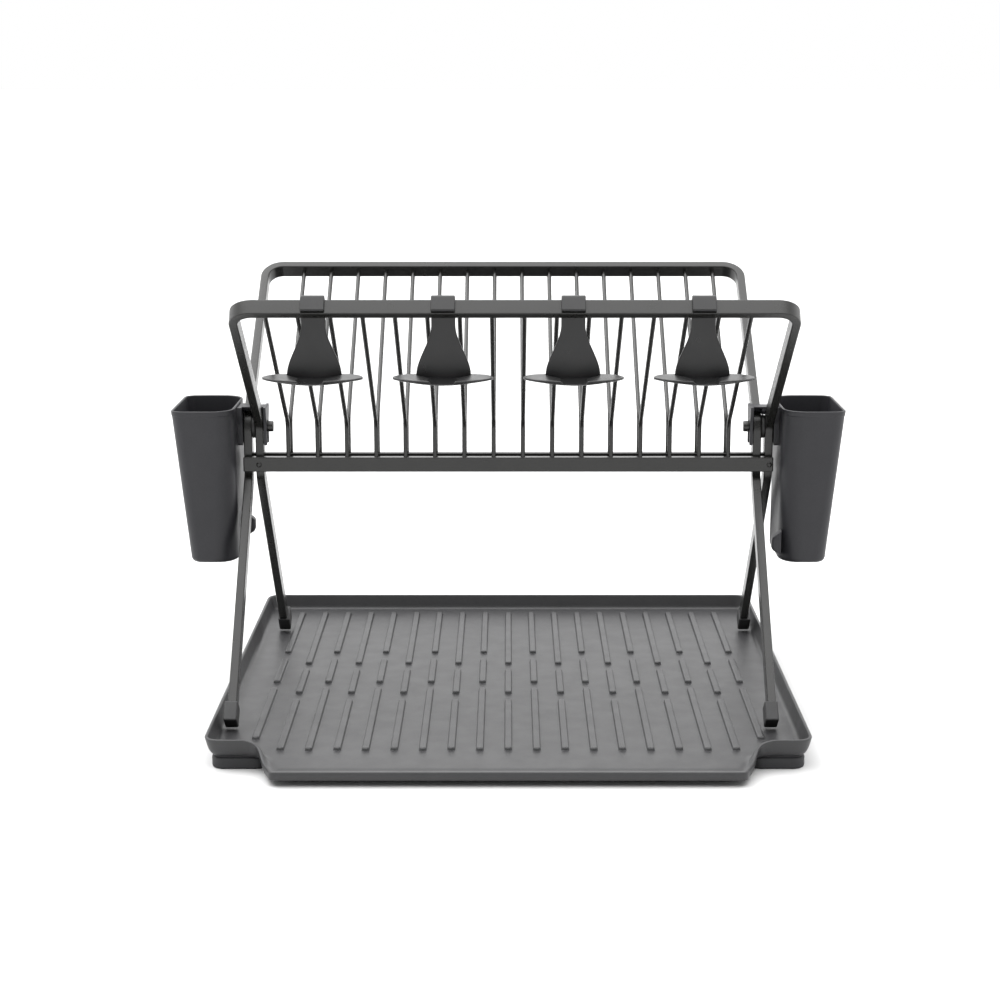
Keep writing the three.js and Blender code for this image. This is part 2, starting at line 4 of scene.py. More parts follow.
import bmesh
import bpy
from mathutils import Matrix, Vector
from mathutils.geometry import delaunay_2d_cdt


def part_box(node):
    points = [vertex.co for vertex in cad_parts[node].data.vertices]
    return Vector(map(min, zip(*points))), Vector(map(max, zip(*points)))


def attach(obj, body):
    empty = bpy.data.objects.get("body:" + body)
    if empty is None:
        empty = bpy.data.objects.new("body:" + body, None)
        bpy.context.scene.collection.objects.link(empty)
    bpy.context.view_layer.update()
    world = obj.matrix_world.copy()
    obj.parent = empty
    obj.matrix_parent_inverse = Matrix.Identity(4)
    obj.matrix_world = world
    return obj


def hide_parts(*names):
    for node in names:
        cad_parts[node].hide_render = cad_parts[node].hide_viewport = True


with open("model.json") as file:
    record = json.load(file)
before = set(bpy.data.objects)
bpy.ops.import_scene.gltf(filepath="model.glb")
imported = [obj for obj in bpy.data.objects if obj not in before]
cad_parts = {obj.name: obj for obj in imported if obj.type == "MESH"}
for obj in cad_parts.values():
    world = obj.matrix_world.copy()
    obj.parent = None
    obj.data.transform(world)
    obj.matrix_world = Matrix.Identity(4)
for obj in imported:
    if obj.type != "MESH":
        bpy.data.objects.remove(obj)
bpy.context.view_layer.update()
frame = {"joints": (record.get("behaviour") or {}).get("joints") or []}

# Shapes are written in millimetres, with Y counted from the plane through the fold axis.
JOINTS = {j["name"]: j for j in frame["joints"]}
RACK_Y, PIVOT_Z = (1000 * v for v in JOINTS["fold_front"]["pos_m"][1:])


def box(node):
    """Lowest and highest corner of a CAD node, in millimetres from the fold plane."""
    lo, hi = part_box(node)
    shift = Vector((0, RACK_Y, 0))
    return 1000 * lo - shift, 1000 * hi - shift


# ---- Sizes read off the frame ------------------------------------------------------------

TRAY_LO, TRAY_HI = box("tray")
BAR_LO, BAR_HI = box("cross_bar_front")
POT_LO, POT_HI = box("pot_right")

TRAY_HALF_W = TRAY_HI.x
TRAY_REAR = TRAY_HI.y
TRAY_FRONT = -216
TRAY_CORNER_R = 14
SPOUT_FRONT = TRAY_LO.y
SPOUT_HALF_W = 181
SPOUT_CORNER_R = 5
SPOUT_ROOT_HALF_W = 195
SPOUT_ROOT_R = 9
FLOOR_TOP = 12
RIB_COUNT = 19
RIB_PITCH = 22.3
# Front and rear end of each rib in a row; two kinds of row take turns across the tray.
ODD_RIBS = [(66.8, 205), (-25, 44.5), (-203, -42.6)]
EVEN_RIBS = [(31.5, 205), (-55.6, 13), (-202, -75)]
OUTER_RIB_FRONT = -176
# A rib's cross section: its half width, how far its ends are drawn in, its height.
RIB_LEVELS = [(4.2, -1.2, 0), (3.3, -0.2, 0), (3.05, 0.05, 0.25), (2.9, 0.3, 0.9), (2.75, 0.6, 1.75),
              (2.45, 1.0, 2.3), (1.95, 1.6, 2.55), (1.3, 2.4, 2.6), (0.5, 3.6, 2.6)]
RIB_ROUNDNESS = 0.72

BAR_W = 12.6
BAR_T = 7.1
BAR_EDGE_R = 0.9
CROSS_BAR_END_R = 1.1
FRAME_W = 442
FRAME_SIDE = 5
HOOP_R = 16
LEG_BEND_R = 16
RAIL = (-159.6, 352.9)
UPPER_BEND_Z = 237.6
LOWER_BEND_Z = 192.1
LOWER_ANGLE = math.radians(41.1)
LEG_END_Z = 19.8
WIRE_R = 1.85
WIRE_COUNT = 16
WIRE_PITCH = 25
WIRE_BEND_Z = 239.2
WIRE_BEND_R = 16
WIRE_SUNK = 0.4
LEG_X = (FRAME_SIDE - FRAME_W / 2 + BAR_T / 2, FRAME_SIDE + FRAME_W / 2 - BAR_T / 2)
GAP = 0.3
# Inner face of the inner leg and outer face of the outer leg at the hinge, a gap clear of both.
INNER_FACE = FRAME_W / 2 - FRAME_SIDE - BAR_T - GAP
OUTER_FACE = FRAME_W / 2 + FRAME_SIDE + GAP


# ---- Mesh helpers ------------------------------------------------------------------------

class Shell:
    """Vertices and faces of one piece, in millimetres, gathered from several closed skins."""

    def __init__(self):
        self.points = []
        self.faces = []
        self.looks = []

    def face(self, indices, look=0):
        self.faces.append(tuple(indices))
        self.looks.append(look)

    def loft(self, loops, look=0, start=True, end=True):
        """Skin over closed loops with equal point counts, closed with a face at each end."""
        base = len(self.points)
        count = len(loops[0])
        for loop in loops:
            self.points.extend(loop)
        for k in range(len(loops) - 1):
            for i in range(count):
                j = (i + 1) % count
                a = base + k * count
                self.face((a + i, a + j, a + count + j, a + count + i), look)
        if start:
            self.face(range(base + count - 1, base - 1, -1), look)
        if end:
            last = base + (len(loops) - 1) * count
            self.face(range(last, last + count), look)
        return self

    def patch(self, points, faces, look=0):
        start = len(self.points)
        self.points.extend(points)
        for f in faces:
            self.face([start + i for i in f], look)

    def build(self, name, body, nodes, slot, looks, turned=False, sharp=40):
        """Makes the object, in the row frame, riding on its body in place of its nodes."""
        sign = -1 if turned else 1
        mesh = bpy.data.meshes.new(name)
        mesh.from_pydata(
            [(sign * x / 1000, (sign * y + RACK_Y) / 1000, z / 1000) for x, y, z in self.points],
            [], self.faces)
        for look in looks:
            mesh.materials.append(look)
        for polygon, look in zip(mesh.polygons, self.looks):
            polygon.material_index = look
        work = bmesh.new()
        work.from_mesh(mesh)
        bmesh.ops.remove_doubles(work, verts=work.verts, dist=1e-7)
        bmesh.ops.recalc_face_normals(work, faces=work.faces)
        for f in work.faces:
            f.smooth = True
        work.to_mesh(mesh)
        work.free()
        mesh.set_sharp_from_angle(angle=math.radians(sharp))
        obj = bpy.data.objects.new(name, mesh)
        bpy.context.scene.collection.objects.link(obj)
        weighted = obj.modifiers.new("weighted", "WEIGHTED_NORMAL")
        weighted.keep_sharp = True
        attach(obj, body)
        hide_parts(*nodes)
        return obj


def rounded_rect(x0, x1, y0, y1, radii, steps=6):
    """Outline of a rectangle, anticlockwise from the (x0, y0) corner, a radius per corner."""
    corners = [(x0, y0, 1, 1, 180), (x1, y0, -1, 1, 270), (x1, y1, -1, -1, 0), (x0, y1, 1, -1, 90)]
    points = []
    for (x, y, sx, sy, start), r in zip(corners, radii):
        for i in range(steps + 1):
            a = math.radians(start + 90 * i / steps)
            points.append((x + sx * r + r * math.cos(a), y + sy * r + r * math.sin(a)))
    return points


def net(contours):
    """Points and triangles of a surface over plan contours that don't cross, each with heights."""
    plan, heights, edges = [], [], []
    for loop in contours:
        start = len(plan)
        plan.extend(Vector((x, y)) for x, y, _ in loop)
        heights.extend(z for _, _, z in loop)
        edges.extend((start + i, start + (i + 1) % len(loop)) for i in range(len(loop)))
    flat, _, faces, origin, _, _ = delaunay_2d_cdt(plan, edges, [], 1, 1e-5)
    points = []
    for p, sources in zip(flat, origin):
        if sources:
            z = heights[sources[0]]
        else:
            z = min(((q - p).length_squared, h) for q, h in zip(plan, heights))[1]
        points.append((p.x, p.y, z))
    return points, faces


def offset(points, distance):
    """The outline moved inwards by a small distance, corner by corner."""
    moved = []
    count = len(points)
    for i in range(count):
        p = Vector(points[i])
        before = (p - Vector(points[i - 1])).normalized()
        after = (Vector(points[(i + 1) % count]) - p).normalized()
        n1 = Vector((-before.y, before.x))
        n2 = Vector((-after.y, after.x))
        middle = n1 + n2
        scale = 2 / max(middle.length_squared, 0.5)
        moved.append(tuple(p + middle * (distance * scale)))
    return moved


def soften(points, radii, steps):
    """A closed outline with a curve in place of each corner that has a radius."""
    count = len(points)
    out = []
    for i, r in enumerate(radii):
        v = Vector(points[i])
        a = Vector(points[i - 1]) - v
        b = Vector(points[(i + 1) % count]) - v
        if r <= 0:
            out.append(tuple(v))
            continue
        half = a.angle(b) / 2
        reach = min(r / math.tan(half), 0.48 * a.length, 0.48 * b.length)
        p = v + a.normalized() * reach
        q = v + b.normalized() * reach
        for k in range(steps + 1):
            t = k / steps
            out.append(tuple((1 - t) ** 2 * p + 2 * t * (1 - t) * v + t * t * q))
    return out


def area(points):
    """Area inside a closed outline, positive when it runs anticlockwise."""
    return sum(a[0] * b[1] - b[0] * a[1] for a, b in zip(points, points[1:] + points[:1])) / 2


def slab(shell, outline, low, high, radius, place, steps=3):
    """A plate between two levels with rounded rims. place turns (u, v, level) into a point."""
    if area(outline) < 0:
        outline = outline[::-1]
    loops = []
    for k in range(steps + 1):
        a = math.radians(90 * k / steps)
        ring = offset(outline, radius * (1 - math.sin(a)))
        loops.append([place(u, v, low + radius * (1 - math.cos(a))) for u, v in ring])
    for k in range(steps, -1, -1):
        a = math.radians(90 * k / steps)
        ring = offset(outline, radius * (1 - math.sin(a)))
        loops.append([place(u, v, high - radius * (1 - math.cos(a))) for u, v in ring])
    shell.loft(loops)


def along_x(u, v, level):
    return (level, u, v)


def along_y(u, v, level):
    return (u, level, v)


def bend(points, radius, steps):
    """A polyline in one plane with its inner corners rounded off."""
    path = [Vector(points[0])]
    for i in range(1, len(points) - 1):
        v = Vector(points[i])
        a = (Vector(points[i - 1]) - v).normalized()
        b = (Vector(points[i + 1]) - v).normalized()
        reach = radius / math.tan(a.angle(b) / 2)
        p, q = v + a * reach, v + b * reach
        for k in range(steps + 1):
            t = k / steps
            path.append((1 - t) ** 2 * p + 2 * t * (1 - t) * v + t * t * q)
    path.append(Vector(points[-1]))
    return path


def slopes(path):
    """Unit direction of a path at each of its points."""
    out = []
    for i in range(len(path)):
        before, after = path[max(i - 1, 0)], path[min(i + 1, len(path) - 1)]
        out.append((after - before).normalized())
    return out


def smooth(t):
    """Eases from 0 to 1, flat at both ends."""
    t = min(max(t, 0.0), 1.0)
    return t * t * (3 - 2 * t)


# ---- Materials ---------------------------------------------------------------------------

COLOUR_DRIFT = 0.06
GLOSS_DRIFT = 0.03
DRIFT_SIZE = 0.03
SPECK = 0.72


def surface(name, colour, roughness, grain, grain_size, specular=0.5, peel=0.0, peel_size=0.004):
    """Coloured plastic or powder coat: slow colour and gloss drift, peel and fine grain bump."""
    mat = bpy.data.materials.new(name)
    mat.use_nodes = True
    tree = mat.node_tree
    shader = tree.nodes["Principled BSDF"]
    shader.inputs["Specular IOR Level"].default_value = specular
    coord = tree.nodes.new("ShaderNodeTexCoord")

    def noise(size, detail, rough=0.5):
        node = tree.nodes.new("ShaderNodeTexNoise")
        node.inputs["Scale"].default_value = 1 / size
        node.inputs["Detail"].default_value = detail
        node.inputs["Roughness"].default_value = rough
        tree.links.new(coord.outputs["Object"], node.inputs["Vector"])
        return node

    slow = noise(DRIFT_SIZE, 4)
    ramp = tree.nodes.new("ShaderNodeValToRGB")
    ramp.color_ramp.elements[0].position = 0.3
    ramp.color_ramp.elements[1].position = 0.7
    ramp.color_ramp.elements[0].color = (*[c * (1 - COLOUR_DRIFT) for c in colour], 1)
    ramp.color_ramp.elements[1].color = (*[c * (1 + COLOUR_DRIFT) for c in colour], 1)
    tree.links.new(slow.outputs["Fac"], ramp.inputs["Fac"])
    speck = noise(grain_size * 2.5, 2)
    mixed = tree.nodes.new("ShaderNodeMix")
    mixed.data_type = "RGBA"
    mixed.blend_type = "MULTIPLY"
    mixed.inputs["Factor"].default_value = 0.35
    speck_ramp = tree.nodes.new("ShaderNodeValToRGB")
    speck_ramp.color_ramp.elements[0].position = 0.35
    speck_ramp.color_ramp.elements[1].position = 0.65
    speck_ramp.color_ramp.elements[0].color = (SPECK, SPECK, SPECK, 1)
    speck_ramp.color_ramp.elements[1].color = (1.0, 1.0, 1.0, 1)
    tree.links.new(speck.outputs["Fac"], speck_ramp.inputs["Fac"])
    tree.links.new(ramp.outputs["Color"], mixed.inputs["A"])
    tree.links.new(speck_ramp.outputs["Color"], mixed.inputs["B"])
    tree.links.new(mixed.outputs["Result"], shader.inputs["Base Color"])

    gloss = tree.nodes.new("ShaderNodeMapRange")
    gloss.inputs["From Min"].default_value = 0.3
    gloss.inputs["From Max"].default_value = 0.7
    gloss.inputs["To Min"].default_value = roughness - GLOSS_DRIFT
    gloss.inputs["To Max"].default_value = roughness + GLOSS_DRIFT
    tree.links.new(noise(DRIFT_SIZE * 0.6, 3).outputs["Fac"], gloss.inputs["Value"])
    tree.links.new(gloss.outputs["Result"], shader.inputs["Roughness"])

    fine = tree.nodes.new("ShaderNodeBump")
    fine.inputs["Strength"].default_value = grain
    fine.inputs["Distance"].default_value = grain_size * 0.12
    tree.links.new(noise(grain_size, 3, 0.6).outputs["Fac"], fine.inputs["Height"])
    if peel:
        wave = tree.nodes.new("ShaderNodeBump")
        wave.inputs["Strength"].default_value = peel
        wave.inputs["Distance"].default_value = peel_size * 0.02
        tree.links.new(noise(peel_size, 1).outputs["Fac"], wave.inputs["Height"])
        tree.links.new(wave.outputs["Normal"], fine.inputs["Normal"])
    tree.links.new(fine.outputs["Normal"], shader.inputs["Normal"])
    return mat


STEEL = surface("coated_steel", (0.013, 0.013, 0.012), 0.25, 0.25, 0.0006, peel=0.4,
                peel_size=0.0022)
TRAY = surface("tray_plastic", (0.032, 0.032, 0.0335), 0.42, 0.5, 0.0005)
POT = surface("pot_plastic", (0.021, 0.021, 0.0245), 0.45, 0.45, 0.0005, specular=0.42)
HOLDER = surface("holder_plastic", (0.012, 0.012, 0.0125), 0.30, 0.3, 0.0005, specular=0.45)
CAP = surface("cap_plastic", (0.030, 0.030, 0.031), 0.55, 0.5, 0.0005)
# The cap's end face: the sleeve's own plastic painted near-black as shade, since it faces down to the
# tray.
CAP_END_SHADE = surface("cap_end_painted_shade", (0.006, 0.006, 0.006), 0.75, 0.6, 0.0006)
FOOT = surface("foot_rubber", (0.018, 0.018, 0.020), 0.62, 0.6, 0.0006)
WASHER = surface("washer_plastic", (0.012, 0.012, 0.012), 0.5, 0.4, 0.0005)


# ---- Tray --------------------------------------------------------------------------------

# Cross sections of the tray's edge, from the underside over the rim to the floor: the inset
# and height at the wall, then at the spout's lip.
EDGE = [
    ((13.5, 8.6), (15.0, 8.6)), ((10.2, 8.6), (5.4, 8.6)), ((8.6, 9.1), (4.7, 8.3)),
    ((6.8, 10.2), (4.4, 6.0)), ((5.2, 11.5), (4.0, 5.2)), ((3.9, 13.0), (3.1, 5.0)),
    ((2.7, 15.2), (1.4, 5.0)), ((1.8, 17.8), (0.6, 5.3)), ((1.0, 20.6), (0.15, 6.1)),
    ((0.35, 23.2), (0.0, 8.0)), ((0.0, 24.5), (0.0, 10.4)), ((0.1, 25.0), (0.15, 11.3)),
    ((0.5, 25.34), (0.55, 11.85)), ((1.0, 25.4), (1.1, 12.0)), ((1.5, 25.4), (1.7, 12.0)),
    ((2.0, 25.28), (2.4, 11.9)), ((2.4, 24.8), (3.2, 11.7)), ((2.65, 24.0), (4.2, 11.55)),
    ((4.9, 15.8), (5.4, 11.5)), ((5.4, 14.2), (6.8, 11.6)), ((6.3, 12.9), (8.4, 11.85)),
    ((7.6, 12.2), (10.0, 11.98)), ((9.2, 12.0), (11.6, 12.0)), ((10.6, 12.0), (13.0, 12.0)),
]
# Distance along the edge from the lip's middle where the wall starts to rise, and is full.
RISE_FROM, RISE_TO = SPOUT_HALF_W + 12, SPOUT_HALF_W + 49


def tray_edge(inset):
    """The tray's outline in plan, moved inwards, with the same point count at any inset."""
    w, s, root = TRAY_HALF_W, SPOUT_HALF_W, SPOUT_ROOT_HALF_W
    corners = [
        (0, SPOUT_FRONT, 0), (s, SPOUT_FRONT, SPOUT_CORNER_R), (root, TRAY_FRONT, -SPOUT_ROOT_R),
        (w, TRAY_FRONT, TRAY_CORNER_R), (w, TRAY_REAR, TRAY_CORNER_R),
        (-w, TRAY_REAR, TRAY_CORNER_R), (-w, TRAY_FRONT, TRAY_CORNER_R),
        (-root, TRAY_FRONT, -SPOUT_ROOT_R), (-s, SPOUT_FRONT, SPOUT_CORNER_R),
    ]
    # Points along the straight side after each corner.
    sections = [18, 14, 7, 30, 34, 30, 7, 14, 18]
    count = len(corners)
    moved = []
    for i, (x, y, r) in enumerate(corners):
        p = Vector((x, y))
        d1 = (p - Vector(corners[i - 1][:2])).normalized()
        d2 = (Vector(corners[(i + 1) % count][:2]) - p).normalized()
        n1, n2 = Vector((-d1.y, d1.x)), Vector((-d2.y, d2.x))
        middle = n1 + n2
        q = p + middle * (2 * inset / middle.length_squared)
        if r > 0:
            radius = max(r - inset, 2.5)
        else:
            radius = inset - r if r else 0
        tangent = radius * math.tan(d1.angle(d2) / 2) if radius else 0
        moved.append((q, d1, d2, tangent))
    points = []
    turns = 9
    for i in range(count):
        q, d1, d2, tangent = moved[i]
        nq, nd1, nd2, ntangent = moved[(i + 1) % count]
        start, end = q + d2 * tangent, nq - nd1 * ntangent
        if tangent:
            first = q - d1 * tangent
            for k in range(turns):
                t = k / turns
                points.append((1 - t) ** 2 * first + 2 * t * (1 - t) * q + t * t * start)
        for k in range(sections[i]):
            points.append(start.lerp(end, k / sections[i]))
    return points


def tray_shell():
    """The tray's skin from its underside over the rim to the floor, and the floor's ribs."""
    base = tray_edge(0)
    walked = [0.0]
    for a, b in zip(base, base[1:] + base[:1]):
        walked.append(walked[-1] + (b - a).length)
    total = walked[-1]
    weights = [1 - smooth((min(s, total - s) - RISE_FROM) / (RISE_TO - RISE_FROM))
               for s in walked[:-1]]
    shell = Shell()
    loops = []
    for (wall_inset, wall_z), (lip_inset, lip_z) in EDGE:
        wall, lip = tray_edge(wall_inset), tray_edge(lip_inset)
        loop = []
        for a, b, t in zip(wall, lip, weights):
            p = a.lerp(b, t)
            loop.append((p.x, p.y, wall_z + (lip_z - wall_z) * t))
        loops.append(loop)
    shell.loft(loops, end=False)
    # Floor with its ribs, as a net over the contours of all the ribs.
    contours = [loops[-1]]
    for i in range(RIB_COUNT):
        x = (i - (RIB_COUNT - 1) / 2) * RIB_PITCH
        outermost = i in (0, RIB_COUNT - 1)
        for y0, y1 in ODD_RIBS if i % 2 == 0 else EVEN_RIBS:
            if outermost:
                y0 = max(y0, OUTER_RIB_FRONT)
            for half, end, z in RIB_LEVELS:
                outline = rounded_rect(x - half, x + half, y0 + end, y1 - end,
                                       [RIB_ROUNDNESS * half] * 4, 4)
                contours.append([(u, v, FLOOR_TOP + z) for u, v in outline])
    shell.patch(*net(contours))
    return shell


tray_shell().build("drip_tray", "tray", ["tray"], "tray_plastic", [TRAY], sharp=60)


PLINTH_R = 10
# Inset and height up the foot; its top goes into the tray.
PLINTH = [(1.6, 0.0), (0.6, 0.25), (0.15, 0.9), (0.0, 1.8), (0.0, 8.0), (0.2, 8.6), (0.8, 9.0),
          (1.6, 9.2), (1.8, 9.5), (1.8, 10.6)]


def foot(node):
    lo, hi = box(node)
    loops = []
    for inset, z in PLINTH:
        outline = rounded_rect(lo.x + inset, hi.x - inset, lo.y + inset, hi.y - inset,
                               [PLINTH_R - inset] * 4, 8)
        loops.append([(x, y, z) for x, y in outline])
    Shell().loft(loops).build(node.replace("tray_foot", "plinth"), "tray", [node], "foot_rubber",
                              [FOOT])


for place in ("front_left", "front_right", "rear_left", "rear_right"):
    foot("tray_foot_" + place)


# ---- Frames ------------------------------------------------------------------------------

RISE = Vector((RAIL[0], RAIL[1] - UPPER_BEND_Z)).normalized()
NORMAL = Vector((RISE.y, -RISE.x))
LEG_END = Vector(((LOWER_BEND_Z - LEG_END_Z) * math.tan(LOWER_ANGLE), LEG_END_Z))


def on_rail(along, off):
    """A point by its distances from the rail's centre along the frame and off its face."""
    return Vector(RAIL) + RISE * along + NORMAL * off


def bar_section(at, wide, thin):
    """The flat bar's outline round a point, across its two given directions."""
    outline = rounded_rect(-BAR_W / 2, BAR_W / 2, -BAR_T / 2, BAR_T / 2, [BAR_EDGE_R] * 4, 3)
    return [tuple(at + wide * a + thin * b) for a, b in outline]


def frame_shell():
    """One hoop: up the left leg, round the corner into the rail, and the same mirrored."""
    leg = bend([LEG_END, (0, LOWER_BEND_Z), (0, UPPER_BEND_Z), RAIL], LEG_BEND_R, 10)
    tilt = slopes(leg)
    sections = []
    for p, s in zip(leg[:-1], tilt[:-1]):
        at = Vector((LEG_X[0], p.x, p.y))
        sections.append((at, Vector((0, s.y, -s.x)), Vector((0, s.x, s.y))))
    rise, side = Vector((0, *RISE)), Vector((1, 0, 0))
    wide = Vector((0, *NORMAL))
    corner = Vector((LEG_X[0], *RAIL)) - rise * HOOP_R + side * HOOP_R
    turns = 16
    for i in range(turns + 1):
        a = math.pi / 2 * i / turns
        at = corner - side * HOOP_R * math.cos(a) + rise * HOOP_R * math.sin(a)
        sections.append((at, wide, rise * math.cos(a) + side * math.sin(a)))
    mirrored = []
    for at, w, along in reversed(sections):
        mirrored.append((Vector((2 * FRAME_SIDE - at.x, at.y, at.z)), w,
                         Vector((along.x, -along.y, -along.z))))
    loops = [bar_section(at, w, along.cross(w)) for at, w, along in sections + mirrored]
    return Shell().loft(loops)


def cross_bar_shell():
    y = (BAR_LO.y + BAR_HI.y) / 2
    z = (BAR_LO.z + BAR_HI.z) / 2
    loops = []
    ends = []
    for k in range(4):
        a = math.radians(30 * k)
        ends.append((CROSS_BAR_END_R * (1 - math.sin(a)), CROSS_BAR_END_R * (1 - math.cos(a))))
    stations = [(inset, BAR_LO.x + dx) for inset, dx in ends]
    stations += [(inset, BAR_HI.x - dx) for inset, dx in reversed(ends)]
    for inset, x in stations:
        outline = rounded_rect(-BAR_T / 2 + inset, BAR_T / 2 - inset, -BAR_W / 2 + inset,
                               BAR_W / 2 - inset, [max(BAR_EDGE_R - inset, 0.05)] * 4, 3)
        loops.append([(x, y + u, z + v) for u, v in outline])
    return Shell().loft(loops)


def wire_shell(x):
    """A wire that stands on the cross bar and leans back to the rail, sunk a little into both."""
    bar_y = (BAR_LO.y + BAR_HI.y) / 2
    top = on_rail(-BAR_T / 2 + WIRE_SUNK, 0)
    path = bend([(bar_y, BAR_HI.z - WIRE_SUNK), (bar_y, WIRE_BEND_Z), top], WIRE_BEND_R, 9)
    tilt = slopes(path)
    tilt[-1] = RISE
    sides = 16
    loops = []
    for p, s in zip(path, tilt):
        ring = []
        for k in range(sides):
            a = 2 * math.pi * k / sides
            off = WIRE_R * math.sin(a)
            ring.append((x + WIRE_R * math.cos(a), p.x + off * s.y, p.y - off * s.x))
        loops.append(ring)
    return Shell().loft(loops)


RIVET_SIDES = 24
# Radius and depth below the head's crown.
RIVET = [(0.4, 0.0), (1.2, 0.08), (1.8, 0.32), (2.2, 0.75), (2.3, 1.1), (2.3, 1.6)]


def rivet_shell(node):
    lo, hi = box(node)
    x, z = (lo.x + hi.x) / 2, (lo.z + hi.z) / 2
    face = lo.y if abs(lo.y) > abs(hi.y) else hi.y
    inward = 1 if face < 0 else -1
    loops = []
    for r, depth in RIVET:
        ring = []
        for k in range(RIVET_SIDES):
            a = 2 * math.pi * k / RIVET_SIDES
            ring.append((x + r * math.cos(a), face + inward * depth, z + r * math.sin(a)))
        loops.append(ring)
    return Shell().loft(loops)


CAP_NEAR, CAP_FAR, CAP_WALL = 1.2, 2.6, 1.6
CAP_EDGE_R = 1.6
# Distance past the leg's end and inset: the sleeve, then its end face.
CAP_SLEEVE = [(-14, 1.1), (-13.8, 0.5), (-13.3, 0.12), (-12.6, 0), (1.2, 0), (1.9, 0.06),
              (2.5, 0.3), (2.8, 0.7)]
CAP_FACE = [(2.8, 0.7), (2.95, 1.3), (3, 2.2)]


def cap_shell(x):
    """Sleeve over a leg's end, standing on its lower edge; its end face is painted near-black as shade,
    since it faces down to the tray.
    """
    down = Vector((math.sin(LOWER_ANGLE), -math.cos(LOWER_ANGLE)))
    across = Vector((-down.y, down.x))
    x0, x1 = x - BAR_T / 2 - CAP_NEAR, x + BAR_T / 2 + CAP_FAR
    half = BAR_W / 2 + CAP_WALL

    def ring(along, inset):
        outline = rounded_rect(x0 + inset, x1 - inset, -half + inset, half - inset,
                               [max(CAP_EDGE_R - inset, 0.3)] * 4, 4)
        points = []
        for u, v in outline:
            p = LEG_END + across * v + down * along
            points.append((u, p.x, p.y))
        return points

    shell = Shell()
    shell.loft([ring(*step) for step in CAP_SLEEVE], end=False)
    # End face in near-black painted shade.
    shell.loft([ring(*step) for step in CAP_FACE], look=1, start=False)
    return shell


for name, turned in (("front", False), ("rear", True)):
    body = name + "_rack"
    frame_shell().build("hoop_" + name, body, ["frame_" + name], "coated_steel", [STEEL], turned)
    cross_bar_shell().build("bar_" + name, body, ["cross_bar_" + name], "coated_steel", [STEEL],
                            turned)
    sides = ("right", "left") if turned else ("left", "right")
    for x, side in zip(LEG_X, sides):
        cap_shell(x).build(f"sleeve_{name}_{side}", body, [f"leg_cap_{name}_{side}"], "cap_plastic",
                           [CAP, CAP_END_SHADE], turned)
        rivet_shell(f"rivet_{name}_{side}").build(f"rivet_head_{name}_{side}", body,
                                                  [f"rivet_{name}_{side}"], "coated_steel", [STEEL])
    for i in range(WIRE_COUNT):
        x = (i - (WIRE_COUNT - 1) / 2) * WIRE_PITCH
        wire_shell(-x if turned else x).build(f"rod_{name}_{i + 1:02d}", body,
                                              [f"wire_{name}_{i + 1:02d}"], "coated_steel", [STEEL],
                                              turned)


# ---- Hinge -------------------------------------------------------------------------------

PIN_R, PIN_HEAD_R = 3, 4.6
PIN_HEAD_T, PIN_END_T = 7.8, 2
WASHER_R, WASHER_BORE_R = 10, 3.1
WASHER_SLACK = 0.1
BORE = 0.4


def lathe(profile, sides=36):
    """A shape turned about the hinge's axis. The profile is a list of (x, radius)."""
    loops = []
    for x, r in profile:
        ring = []
        for k in range(sides):
            a = 2 * math.pi * k / sides
            ring.append((x, r * math.cos(a), PIVOT_Z + r * math.sin(a)))
        loops.append(ring)
    return Shell().loft(loops)


def pin_shell(side):
    """Pin through both legs, with a long head inside the frames and a flat one outside."""
    start, end = INNER_FACE - PIN_HEAD_T, OUTER_FACE + PIN_END_T
    profile = [(start, BORE), (start, PIN_HEAD_R - 1), (start + 0.15, PIN_HEAD_R - 0.45),
               (start + 0.6, PIN_HEAD_R - 0.1), (start + 1.2, PIN_HEAD_R),
               (INNER_FACE - 0.5, PIN_HEAD_R), (INNER_FACE - 0.1, PIN_HEAD_R - 0.2),
               (INNER_FACE, PIN_R), (OUTER_FACE, PIN_R), (OUTER_FACE, PIN_HEAD_R - 0.2),
               (OUTER_FACE + 0.4, PIN_HEAD_R), (end - 0.8, PIN_HEAD_R - 0.2),
               (end - 0.25, 3.5), (end, 2.0), (end, BORE)]
    return lathe([(side * x, r) for x, r in profile])


def washer_shell(side):
    middle = side * (FRAME_W / 2 - BAR_T / 2)
    half = FRAME_SIDE - BAR_T / 2 - WASHER_SLACK
    profile = [(-half, WASHER_BORE_R), (-half, WASHER_R - 0.5), (-half + 0.4, WASHER_R - 0.1),
               (0, WASHER_R), (half - 0.4, WASHER_R - 0.1), (half, WASHER_R - 0.5),
               (half, WASHER_BORE_R)]
    return lathe([(middle + x, r) for x, r in profile])


for name, side in (("left", -1), ("right", 1)):
    pin_shell(side).build("pin_" + name, "hinge", ["hinge_pin_" + name], "coated_steel", [STEEL])
    washer_shell(side).build("washer_" + name, "hinge", ["hinge_spacer_" + name], "cap_plastic",
                             [WASHER])


# ---- Pots --------------------------------------------------------------------------------

POT_BOTTOM, POT_RIM = POT_LO.z, POT_HI.z
POT_FLOOR = POT_BOTTOM + 3
# Side towards the rack, outer side and half depth, at the rim and at the base.
POT_TOP_BOX = (230.2, POT_HI.x, 45.5)
POT_BASE_BOX = (229.2, 269.3, 42)
POT_CORNER_R = (17, 9, 9, 17)
POT_BOW = 1.2

HANGER_TOP, HANGER_BOTTOM = 251.9, 218.8
HANGER_T = 2.8
HANGER_BACK = 231.5
SLOT_HALF_W, SLOT_TOP = 5.1, PIVOT_Z + 5.2
SADDLE_HALF_W = 7.2
SADDLE_NOSE = 1.5
WEB_HALF_T = 1.35
# The web under the saddle, as (y, z), in the gap between the two legs.
WEB = [(-7, 250.5), (-7, 248.3), (-3.5, 245.3), (0, 244.15), (3.5, 245.3), (7, 248.3), (7, 250.5)]
